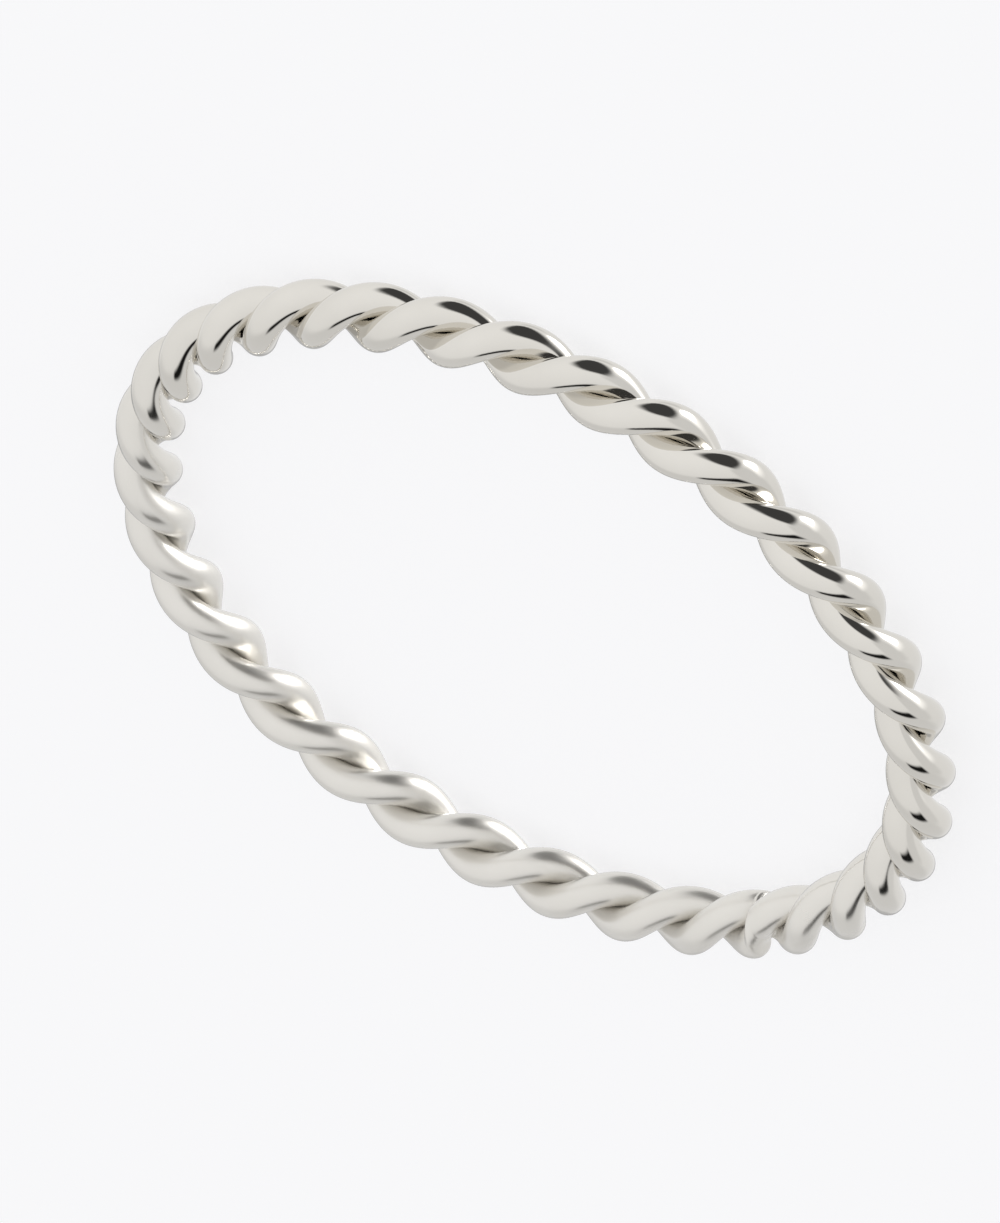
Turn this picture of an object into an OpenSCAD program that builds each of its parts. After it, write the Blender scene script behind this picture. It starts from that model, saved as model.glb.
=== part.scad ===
// A finger ring of two round wires laid round each other like a rope and soldered shut.
//
// The ring lies on its side. The origin is on the surface under the middle of the ring,
// +Z points up along the axis of the finger and +X points towards the soldered seam.
// All sizes are in millimetres and all angles in degrees.

/* [Finger] */
// Inner diameter of the ring, measured between the crowns of the wires
finger_d = 17.3; // [14:0.1:22]

/* [Wires] */
// Diameter of each wire
wire_d = 0.74; // [0.6:0.02:0.9]
// Gap left between the two wires where they cross, and between their ends at the seam
wire_gap = 0.02; // [0.01:0.005:0.04]

/* [Lay] */
// Half turns of the pair round the ring, an odd count, so that each wire's end meets the other wire
half_turns = 33; // [27:2:37]
// Most by which the lay, which isn't quite even, runs ahead and then behind, twice round the ring
lay_drift = 9.5; // [0:0.5:12]
// Tilt of the pair at the seam, from level
seam_tilt = 109; // [0:1:179]
// Angle by which the two ends of the pair are out of step at the seam
seam_turn = 41; // [0:1:60]
// Stretch of the ring over which the pair makes up for that angle
seam_arc = 2; // [1.6:0.2:6]

/* [Solder] */
// Radius of the hollow face of the solder in the grooves at the seam
solder_r = 1; // [0.05:0.05:2]
// Stretch of the ring over which the solder and its heat shape the wires, each way
solder_arc = 1.5; // [0.8:0.1:3]

/* [Facets] */
// Sides of a wire's section
wire_sides = 12; // [10:2:14]
// Sections of a wire in the short zone on each side of the seam
seam_rows = 16; // [10:1:24]
// Sections of a wire round the rest of the ring
plain_rows = 300; // [240:10:400]

/* [Hidden] */

wire_r = wire_d / 2;
// Distance of each wire's middle from the middle line of the pair
pair_r = (wire_d + wire_gap) / 2;
// Radius of the middle line of the pair
ring_r = finger_d / 2 + pair_r + wire_r;
// Height of that line above the surface that the ring lies on
rest_z = pair_r + wire_r;
// Turn of the pair for each degree of the ring, away from the seam
lay_rate = (half_turns * 180 - seam_turn) / 360;
// Ring angle of each wire's end, half the gap away from the seam
end_angle = wire_gap / 2 / ring_r * 180 / PI;
// Ring angle at which the closer sections beside the seam give way to the plain ones
seam_zone = 6;
white_gold = [0.76, 0.74, 0.70];

// Part of a smooth step from 0 to 1 that is done at u, for u from 0 to 1
function step_at(u) = let (v = min(1, max(0, u))) v * v * (3 - 2 * v);

// Slope of that step at u
function slope_at(u) = u <= 0 || u >= 1 ? 0 : 6 * u * (1 - u);

// Turn of the pair at a ring angle: the lay, and half of the step at each side of the seam
function turn_at(s) =
    let (leaving = step_at(s / seam_arc + 0.5), closing = step_at((s - 360) / seam_arc + 0.5))
    seam_tilt + lay_rate * s + lay_drift * sin(2 * s) + seam_turn * (leaving + closing - 0.5);

// Radians of turn for each millimetre of the middle line, the slope of turn_at
function twist_at(s) =
    let (leaving = slope_at(s / seam_arc + 0.5), closing = slope_at((s - 360) / seam_arc + 0.5))
    let (drifting = lay_drift * 2 * cos(2 * s) * PI / 180)
    (lay_rate + drifting + seam_turn * (leaving + closing) / seam_arc) / ring_r;

// Nearness to the seam, 1 at the seam and falling away like a bell on both sides of it
function seam_at(s) = exp(-pow(min(s, 360 - s) / solder_arc, 2));

// Reach of a wire's section from its middle in a direction, where 180 is towards the other
// wire. In the groove it ends at the fillet, a circle that touches both wires from outside,
// or at the plane midway between the wires where it passes under that circle.
function reach(a, fillet) =
    let (inward = -cos(a), across = abs(sin(a)))
    let (height = sqrt(max(0, pow(wire_r + fillet, 2) - pow(pair_r, 2))))
    let (along = inward * pair_r + across * height)
    let (spare = pow(along, 2) + pow(fillet, 2) - pow(wire_r + fillet, 2))
    let (face = spare > 0 ? along - sqrt(spare) : 2 * wire_r)
    let (middle = wire_r / max(inward, 0.001))
    atan2(across, inward) < atan2(height, pair_r) ? min(face, middle) : wire_r;

// A point of the section that a plane across the band cuts from a wire. The wire runs
// aslant through that plane, so its round section is drawn out and leans round the pair.
// At the seam it is plainly round instead, and there the solder fills the grooves.
function wire_point(s, a, start) =
    let (seam = seam_at(s), aslant = max(0, 1 - 2 * seam))
    let (twist = twist_at(s), lay = atan(pair_r * twist))
    let (r = reach(a, solder_r * max(0, 2 * seam - 1)))
    let (lean = aslant * wire_r * sin(a) * sin(lay) * twist * 180 / PI)
    let (out = pair_r + r * cos(a))
    let (across = r * sin(a) * (1 - aslant + aslant * cos(lay)))
    let (t = turn_at(s) + start + lean)
    let (band = ring_r + out * cos(t) - across * sin(t))
    [band * cos(s), band * sin(s), rest_z + out * sin(t) + across * cos(t)];

// Middle of a wire at a ring angle
function wire_middle(s, start) =
    let (t = turn_at(s) + start, band = ring_r + pair_r * cos(t))
    [band * cos(s), band * sin(s), rest_z + pair_r * sin(t)];

// Ring angles of all sections, from one end of a wire to the other and closer at both
stations = concat(
    [for (i = [0:seam_rows - 1]) end_angle + (seam_zone - end_angle) * i / seam_rows],
    [for (i = [0:plain_rows - 1]) seam_zone + (360 - 2 * seam_zone) * i / plain_rows],
    [for (i = [seam_rows:-1:0]) 360 - end_angle - (seam_zone - end_angle) * i / seam_rows]
);

// One wire, once round the ring, with a flat face at each end
module wire(start) {
    last = len(stations) - 1;
    points = concat(
        [
            for (s = stations)
                for (j = [0:wire_sides - 1])
                    wire_point(s, 360 * j / wire_sides, start)
        ],
        [wire_middle(stations[0], start), wire_middle(stations[last], start)]
    );
    first_middle = len(points) - 2;
    last_middle = len(points) - 1;
    function at(i, j) = i * wire_sides + j % wire_sides;
    // Each four-cornered patch is halved along the diagonal that the facing patch of the other
    // wire has too, so that the gap between them stays open.
    side_faces = [
        for (i = [0:last - 1])
            for (j = [0:wire_sides - 1])
                let (a = at(i, j), b = at(i, j + 1), c = at(i + 1, j + 1), d = at(i + 1, j))
                each j < wire_sides / 2 ? [[a, b, c], [a, c, d]] : [[a, b, d], [b, c, d]]
    ];
    end_faces = [
        for (j = [0:wire_sides - 1])
            each [
                [first_middle, at(0, j + 1), at(0, j)],
                [last_middle, at(last, j), at(last, j + 1)]
            ]
    ];
    polyhedron(points = points, faces = concat(side_faces, end_faces), convexity = 10);
}

module strand_a() {
    color(white_gold)
        wire(0);
}

module strand_b() {
    color(white_gold)
        wire(180);
}

strand_a();
strand_b();
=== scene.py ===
# A finger ring of two round white gold wires laid round each other like a rope.
# It lies on its side on a pale studio table, seen from above its outer edge.
from math import cos, pi, radians, sin, tan

import bpy
import numpy as np
from mathutils import Matrix, Vector


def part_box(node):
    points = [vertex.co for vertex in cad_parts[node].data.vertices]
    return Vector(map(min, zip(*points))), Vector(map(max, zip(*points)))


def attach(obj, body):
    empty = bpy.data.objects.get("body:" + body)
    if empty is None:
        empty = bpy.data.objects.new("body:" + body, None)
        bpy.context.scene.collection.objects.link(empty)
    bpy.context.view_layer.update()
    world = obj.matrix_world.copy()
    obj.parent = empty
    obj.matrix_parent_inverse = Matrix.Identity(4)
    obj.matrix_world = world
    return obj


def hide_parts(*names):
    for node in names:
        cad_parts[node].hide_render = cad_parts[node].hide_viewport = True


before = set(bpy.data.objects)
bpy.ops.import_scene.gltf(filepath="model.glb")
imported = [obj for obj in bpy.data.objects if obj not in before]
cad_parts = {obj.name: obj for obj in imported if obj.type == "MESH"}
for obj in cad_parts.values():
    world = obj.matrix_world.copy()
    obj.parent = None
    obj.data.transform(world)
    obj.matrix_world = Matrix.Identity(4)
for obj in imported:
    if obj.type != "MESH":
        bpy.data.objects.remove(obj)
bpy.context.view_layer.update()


# The two strands.
# Each is a round wire of white gold, drawn, laid round the other and polished. The twisting
# presses the two a little flat where they touch. The pair is bent round a mandrel and its
# ends are soldered, a little out of step, so that the two are one wire that goes round twice.

MM = 0.001
band_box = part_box("strand_a")
band_height = band_box[1][2] - band_box[0][2]
# A wire's flat lies at this share of its radius from its middle.
pressed = 0.965
past_the_flat = 1.005
wire_r = band_height / 2 / (1 + pressed)
pair_r = wire_r * pressed
# Radius and height of the middle line, which runs between the two wires.
ring_r = 9.396 * MM
rest_z = band_box[0][2] + band_height / 2

# The lay: half turns of the pair in one round of the ring, the most by which it drifts, its
# tilt at the seam, and the angle that it makes up for there over a short arc, in degrees.
half_turns = 33
lay_drift = 9.5
seam_tilt = 109
seam_turn = 41
seam_arc = 2
lay_rate = (half_turns * 180 - seam_turn) / 360
# How far the torch and the fillet reach from the seam, in degrees of the ring, and the
# radius of the fillet there.
solder_arc = 1.5
fillet_arc = 2.8
solder_r = 1 * MM

# Points round a wire's section, and rows of them in one round, closer beside the seam.
section_points = 48
seam_zone = 9
seam_rows = 160
plain_rows = 840


def seam_step(angle):
    """Share of the extra turn at the seam that a ring angle has behind it: 0 before, 1 past
    it, and a smooth step between. Its slope in each degree comes second."""
    u = np.clip(angle / seam_arc + 0.5, 0, 1)
    return u * u * (3 - 2 * u), 6 * u * (1 - u) / seam_arc


def reach(a, fillet):
    """Distance from the wire's middle to its surface in the direction a, where 180 degrees
    is towards the other wire. It is the wire's radius, except in the groove: there it is
    where the direction meets a fillet, a circle that touches both wires from outside, or
    the plane on which the two are pressed flat if it passes under that circle. The flats
    run a hair past that plane, so that no slit shows between them."""
    inward, across = -np.cos(a), np.abs(np.sin(a))
    height = np.sqrt(np.maximum((wire_r + fillet) ** 2 - pair_r**2, 0))
    touch = np.arctan2(height, pair_r)
    along = inward * pair_r + across * height
    spare = along**2 - pair_r**2 - height**2 + fillet**2
    hit = np.where(spare > 0, along - np.sqrt(np.maximum(spare, 0)), np.inf)
    flat = past_the_flat * pair_r / np.maximum(inward, 0.001)
    return np.where(np.arctan2(across, inward) < touch, np.minimum(hit, flat), wire_r)


def strand_surface(angle, a):
    """Points of the wire. The first parameter is the angle round the ring, in degrees, from 0
    to 720 as the wire goes round twice, and the second goes round the wire's section. The
    pair turns nearly steadily with the ring angle, drifting ahead and behind by a sine, and a
    little faster at the seam. The section is the one that a plane across the band cuts from
    the slanting wire, so it leans round the pair in step with the slope of the lay. At the
    seam it is round, and the solder's fillet runs out of the grooves on both sides."""
    lap = np.floor((angle + 180) / 360)
    near = angle - 360 * lap
    step, step_slope = seam_step(near)
    drift = lay_drift * np.sin(2 * np.radians(near))
    drift_slope = 2 * np.radians(lay_drift) * np.cos(2 * np.radians(near))
    turn = seam_tilt + lay_rate * near + drift + seam_turn * (step - 0.5) + 180 * half_turns * lap
    turn = np.radians(turn)
    twist = (lay_rate + drift_slope + seam_turn * step_slope) / ring_r
    lay = np.arctan(pair_r * twist)
    solder = np.exp(-((near / solder_arc) ** 2))
    aslant = 1 - solder
    fill = np.clip(1 - np.abs(near) / fillet_arc, 0, 1)
    r = reach(a, solder_r * fill * fill * (3 - 2 * fill))
    lean = aslant * wire_r * np.sin(a) * np.sin(lay) * twist
    out = pair_r + r * np.cos(a)
    across = r * np.sin(a) * (1 - aslant + aslant * np.cos(lay))
    around = turn + lean
    band = ring_r + out * np.cos(around) - across * np.sin(around)
    z = rest_z + out * np.sin(around) + across * np.cos(around)
    ring = np.radians(angle)
    return np.stack([band * np.cos(ring), band * np.sin(ring), z], axis=-1)


def closed_tube(name, points):
    """Mesh of a grid of points that closes on itself both ways, smooth, with a UV map whose
    first axis runs once round the ring and whose second runs once round the wire."""
    rows, sides = points.shape[:2]
    i = np.repeat(np.arange(rows), sides)
    j = np.tile(np.arange(sides), rows)
    corners = [(i, j), (i + 1, j), (i + 1, j + 1), (i, j + 1)]
    quads = np.stack([(p % rows) * sides + q % sides for p, q in corners], axis=1)
    mesh = bpy.data.meshes.new(name)
    mesh.from_pydata(points.reshape(-1, 3), [], quads)
    uv = np.stack([np.stack([p / rows, q / sides], axis=1) for p, q in corners], axis=1)
    mesh.uv_layers.new(name="wire").data.foreach_set("uv", uv.astype(np.float32).ravel())
    mesh.shade_smooth()
    mesh.update()
    piece = bpy.data.objects.new(name, mesh)
    bpy.context.collection.objects.link(piece)
    return piece


def white_gold():
    """Polished white gold: a warm grey metal with a fine haze in its gloss, faint lengthwise
    lines from the drawing of the wire, and a few soft ripples from the polishing wheel. On
    its worn side the haze is thick under a hard bright film, and the seam is hazier still."""
    material = bpy.data.materials.new("white_gold")
    material.use_nodes = True
    nodes, links = material.node_tree.nodes, material.node_tree.links
    shader = nodes["Principled BSDF"]
    shader.inputs["Metallic"].default_value = 1
    place = nodes.new("ShaderNodeTexCoord")

    def noise(vector, scale, detail):
        """Cloudy noise, mostly between 0.3 and 0.7."""
        node = nodes.new("ShaderNodeTexNoise")
        node.inputs["Scale"].default_value = scale
        node.inputs["Detail"].default_value = detail
        links.new(vector, node.inputs["Vector"])
        return node.outputs["Fac"]

    def ranged(value, low, high):
        """The noise drawn out to run from low to high."""
        node = nodes.new("ShaderNodeMapRange")
        node.inputs["From Min"].default_value = 0.3
        node.inputs["From Max"].default_value = 0.7
        node.inputs["To Min"].default_value = low
        node.inputs["To Max"].default_value = high
        links.new(value, node.inputs["Value"])
        return node.outputs["Result"]

    def stepped(value, start, end, amount):
        """A smooth step from 0, up to start, to the amount, from end on."""
        node = nodes.new("ShaderNodeMapRange")
        node.interpolation_type = "SMOOTHSTEP"
        node.inputs["From Min"].default_value = start
        node.inputs["From Max"].default_value = end
        node.inputs["To Max"].default_value = amount
        links.new(value, node.inputs["Value"])
        return node.outputs["Result"]

    def added(first, second):
        """Sum of two values."""
        node = nodes.new("ShaderNodeMath")
        links.new(first, node.inputs[0])
        links.new(second, node.inputs[1])
        return node.outputs["Value"]

    def round_the_ring(direction):
        """How far a point is to one side of the ring: 1 in the direction, -1 opposite."""
        node = nodes.new("ShaderNodeVectorMath")
        node.operation = "DOT_PRODUCT"
        node.inputs[1].default_value = Vector(direction) / ring_r
        links.new(place.outputs["Object"], node.inputs[0])
        return node.outputs["Value"]

    cloud = noise(place.outputs["Object"], scale=900, detail=3)
    tint = nodes.new("ShaderNodeMix")
    tint.data_type = "RGBA"
    tint.inputs["A"].default_value = (0.747, 0.723, 0.675, 1)
    tint.inputs["B"].default_value = (0.777, 0.753, 0.705, 1)
    links.new(ranged(cloud, low=0, high=1), tint.inputs["Factor"])
    links.new(tint.outputs["Result"], shader.inputs["Base Color"])

    haze = noise(place.outputs["Object"], scale=2500, detail=4)
    rough = ranged(haze, low=0.03, high=0.06)
    worn_side = round_the_ring((0.55, -0.83, 0))
    rough = added(rough, stepped(worn_side, start=-0.3, end=0.7, amount=0.33))
    seam_side = round_the_ring((1, 0, 0))
    rough = added(rough, stepped(seam_side, start=0.985, end=1, amount=0.2))

    across = nodes.new("ShaderNodeSeparateXYZ")
    links.new(place.outputs["UV"], across.inputs["Vector"])
    from_crown = nodes.new("ShaderNodeMath")
    from_crown.operation = "PINGPONG"
    from_crown.inputs[1].default_value = 0.5
    links.new(across.outputs["Y"], from_crown.inputs[0])
    groove = stepped(from_crown.outputs["Value"], start=0.38, end=0.46, amount=0.12)
    links.new(added(rough, groove), shader.inputs["Roughness"])

    shader.inputs["Coat IOR"].default_value = 2
    shader.inputs["Coat Roughness"].default_value = 0.06
    film = stepped(worn_side, start=-0.3, end=0.5, amount=1)
    links.new(film, shader.inputs["Coat Weight"])

    lengthwise = nodes.new("ShaderNodeMapping")
    lengthwise.inputs["Scale"].default_value = (60, 40, 1)
    links.new(place.outputs["UV"], lengthwise.inputs["Vector"])
    lines = noise(lengthwise.outputs["Vector"], scale=4, detail=2)
    ripple = noise(place.outputs["Object"], scale=1400, detail=1)
    line_share = 0.15
    height = nodes.new("ShaderNodeMath")
    height.operation = "MULTIPLY_ADD"
    height.inputs[1].default_value = line_share
    links.new(lines, height.inputs[0])
    links.new(ripple, height.inputs[2])
    bump = nodes.new("ShaderNodeBump")
    bump.inputs["Strength"].default_value = 0.05
    bump.inputs["Distance"].default_value = 0.02 * MM
    links.new(height.outputs["Value"], bump.inputs["Height"])
    links.new(bump.outputs["Normal"], shader.inputs["Normal"])
    return material


lap_angles = np.concatenate([
    np.linspace(-seam_zone, seam_zone, seam_rows, endpoint=False),
    np.linspace(seam_zone, 360 - seam_zone, plain_rows, endpoint=False),
])
ring_angles = np.concatenate([lap_angles, lap_angles + 360])[:, None]
section_angles = np.linspace(0, 2 * pi, section_points, endpoint=False)[None, :]
wire = closed_tube("twisted_wire", strand_surface(ring_angles, section_angles))
wire.data.materials.append(white_gold())
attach(wire, "root")
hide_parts("strand_a", "strand_b")


# The camera.
# It looks down on the ring over its outer edge, from far away with a long lens, and is
# turned about its line of sight so that the near side of the band is at the top right.

picture_height = 1223
focal_px = 23015
camera_far = 52.6 * ring_r
camera_azimuth = radians(123.5)
camera_elevation = radians(31.17)
camera_roll = radians(213.17)
target = Vector((-0.385 * MM, -0.696 * MM, rest_z))

outward = Vector((cos(camera_azimuth), sin(camera_azimuth), 0))
place = outward * camera_far * cos(camera_elevation)
place.z = rest_z + camera_far * sin(camera_elevation)
back = (place - target).normalized()
level = Vector((0, 0, 1)).cross(back).normalized()
upright = back.cross(level)
right = level * cos(camera_roll) + upright * sin(camera_roll)
up = upright * cos(camera_roll) - level * sin(camera_roll)
lens = bpy.data.cameras.new("camera")
lens.sensor_width = 36
lens.lens = focal_px * lens.sensor_width / picture_height
lens.clip_start = 0.01
lens.clip_end = 20
camera = bpy.data.objects.new("camera", lens)
camera.matrix_world = Matrix.Translation(place) @ Matrix((right, up, back)).transposed().to_4x4()
bpy.context.collection.objects.link(camera)
bpy.context.scene.camera = camera


# The table and the studio.
# A backlit white table in a pale room. The ring mirrors the whole room, so the softbox and
# the dark cards, painted on the room's light, draw the bright and the charcoal marks on it.

table_half = 0.8
table_glow = 0.72
table_grey = (0.26, 0.26, 0.265, 1)
glow_white = (1, 1, 1.012, 1)
table_mesh = bpy.data.meshes.new("table")
table_mesh.from_pydata(
    [(x * table_half, y * table_half, 0) for x, y in ((-1, -1), (1, -1), (1, 1), (-1, 1))],
    [], [(0, 1, 2, 3)])
table_white = bpy.data.materials.new("table")
table_white.use_nodes = True
shader = table_white.node_tree.nodes["Principled BSDF"]
shader.inputs["Base Color"].default_value = table_grey
shader.inputs["Roughness"].default_value = 1
shader.inputs["Specular IOR Level"].default_value = 0
shader.inputs["Emission Color"].default_value = glow_white
shader.inputs["Emission Strength"].default_value = table_glow
table_mesh.materials.append(table_white)
table = bpy.data.objects.new("table", table_mesh)
table.visible_glossy = False
table.visible_shadow = False
bpy.context.collection.objects.link(table)

room = bpy.data.worlds.new("room")
room.use_nodes = True
nodes, links = room.node_tree.nodes, room.node_tree.links
towards = nodes.new("ShaderNodeTexCoord").outputs["Generated"]


def polar(azimuth, below):
    """Direction at an azimuth, and at an angle from straight down, both in degrees."""
    flat = sin(radians(below))
    return Vector((flat * cos(radians(azimuth)), flat * sin(radians(azimuth)),
                   -cos(radians(below))))


def along(axis):
    """How far the light's direction goes along an axis, from -1 to 1."""
    node = nodes.new("ShaderNodeVectorMath")
    node.operation = "DOT_PRODUCT"
    node.inputs[1].default_value = axis
    links.new(towards, node.inputs[0])
    return node.outputs["Value"]


def combined(operation, *values):
    """Output of a Math node fed with numbers and outputs."""
    node = nodes.new("ShaderNodeMath")
    node.operation = operation
    for socket, value in zip(node.inputs, values):
        if isinstance(value, (int, float)):
            socket.default_value = value
        else:
            links.new(value, socket)
    return node.outputs["Value"]


def with_patch(light, brightness, corners):
    """The room's light with a patch laid over it. A corner is a direction, and the softness
    of the edge that starts there, in degrees. The edge is a plane through the ring, and a
    direction is inside by its product with the plane's normal. A smooth step over the
    softness makes that 0 outside and 1 inside, and the steps' product is the patch."""
    directions = [direction for direction, soft in corners]
    middle = sum(directions, Vector())
    cover = 1.0
    for (start, soft), end in zip(corners, directions[1:] + directions[:1]):
        normal = start.cross(end).normalized()
        normal *= 1 if normal.dot(middle) > 0 else -1
        step = nodes.new("ShaderNodeMapRange")
        step.interpolation_type = "SMOOTHSTEP"
        step.inputs["From Min"].default_value = -sin(radians(soft))
        step.inputs["From Max"].default_value = sin(radians(soft))
        links.new(along(normal), step.inputs["Value"])
        cover = combined("MULTIPLY", cover, step.outputs["Result"])
    gap = combined("SUBTRACT", brightness, light)
    return combined("MULTIPLY_ADD", gap, cover, light)


# The room's light, its fall towards the dim side, and what the camera itself sees of it.
room_light = 0.91
room_fall = 0.07
dim_side = polar(340, 90)
room_seen = 0.95

dim_corner = [
    (polar(262, 92), 14), (polar(300, 75), 12), (polar(345, 70), 12), (polar(30, 94), 10),
    (polar(50, 112), 10), (polar(28, 142), 14), (polar(330, 156), 18), (polar(272, 133), 16)]
grey_drape = [
    (polar(19, 112), 8), (polar(16, 77), 9), (polar(94, 68), 8), (polar(88, 104), 5),
    (polar(68, 113), 6)]
softbox_glow = [
    (polar(55, 70), 8), (polar(94, 54), 5), (polar(103, 36), 5), (polar(102, 21), 6),
    (polar(57, 17), 10)]
softbox_core = [
    (polar(69, 53), 5), (polar(88, 49), 4), (polar(97, 35), 4), (polar(96, 25), 5),
    (polar(71, 22), 6)]
ring_shade = [(polar(106, 15), 4), (polar(190, 21), 5), (polar(255, 17), 5), (polar(290, 3), 5)]
charcoal_card = [
    (polar(88, 93), 6), (polar(116, 95), 6), (polar(140, 84), 8), (polar(163, 62), 8),
    (polar(173, 42), 6), (polar(176, 27), 6), (polar(152, 21), 7), (polar(113, 33), 8),
    (polar(88, 76), 11)]
backdrop = [(polar(280, 54), 4), (polar(280, 88), 4), (polar(322, 88), 4), (polar(322, 54), 4)]

slot_foot = polar(30, 115)
slot_head = polar(345, 145)
slot_half_foot = radians(10)
slot_half_head = radians(6)
slot_soft = 5
across_slot = slot_foot.cross(slot_head).normalized()
half_foot = across_slot * tan(slot_half_foot)
half_head = across_slot * tan(slot_half_head)
narrow_slot = [
    (slot_foot + half_foot, slot_soft), (slot_foot - half_foot, slot_soft),
    (slot_head - half_head, slot_soft), (slot_head + half_head, slot_soft)]

# How bright each patch is, in the order in which they are laid over the room.
patches = [
    (0.73, dim_corner), (0.75, grey_drape), (1.4, softbox_glow), (13, softbox_core),
    (0.74, ring_shade), (0.055, charcoal_card), (0.01, narrow_slot), (0.5, backdrop)]
light = combined("MULTIPLY_ADD", along(dim_side), -room_fall, room_light)
for brightness, corners in patches:
    light = with_patch(light, brightness, corners)
seen = nodes.new("ShaderNodeLightPath").outputs["Is Camera Ray"]
light = combined("MULTIPLY_ADD", combined("SUBTRACT", room_seen, light), seen, light)
nodes["Background"].inputs["Color"].default_value = (1, 1, 1, 1)
links.new(light, nodes["Background"].inputs["Strength"])
bpy.context.scene.world = room
bpy.context.scene.view_settings.view_transform = "Standard"
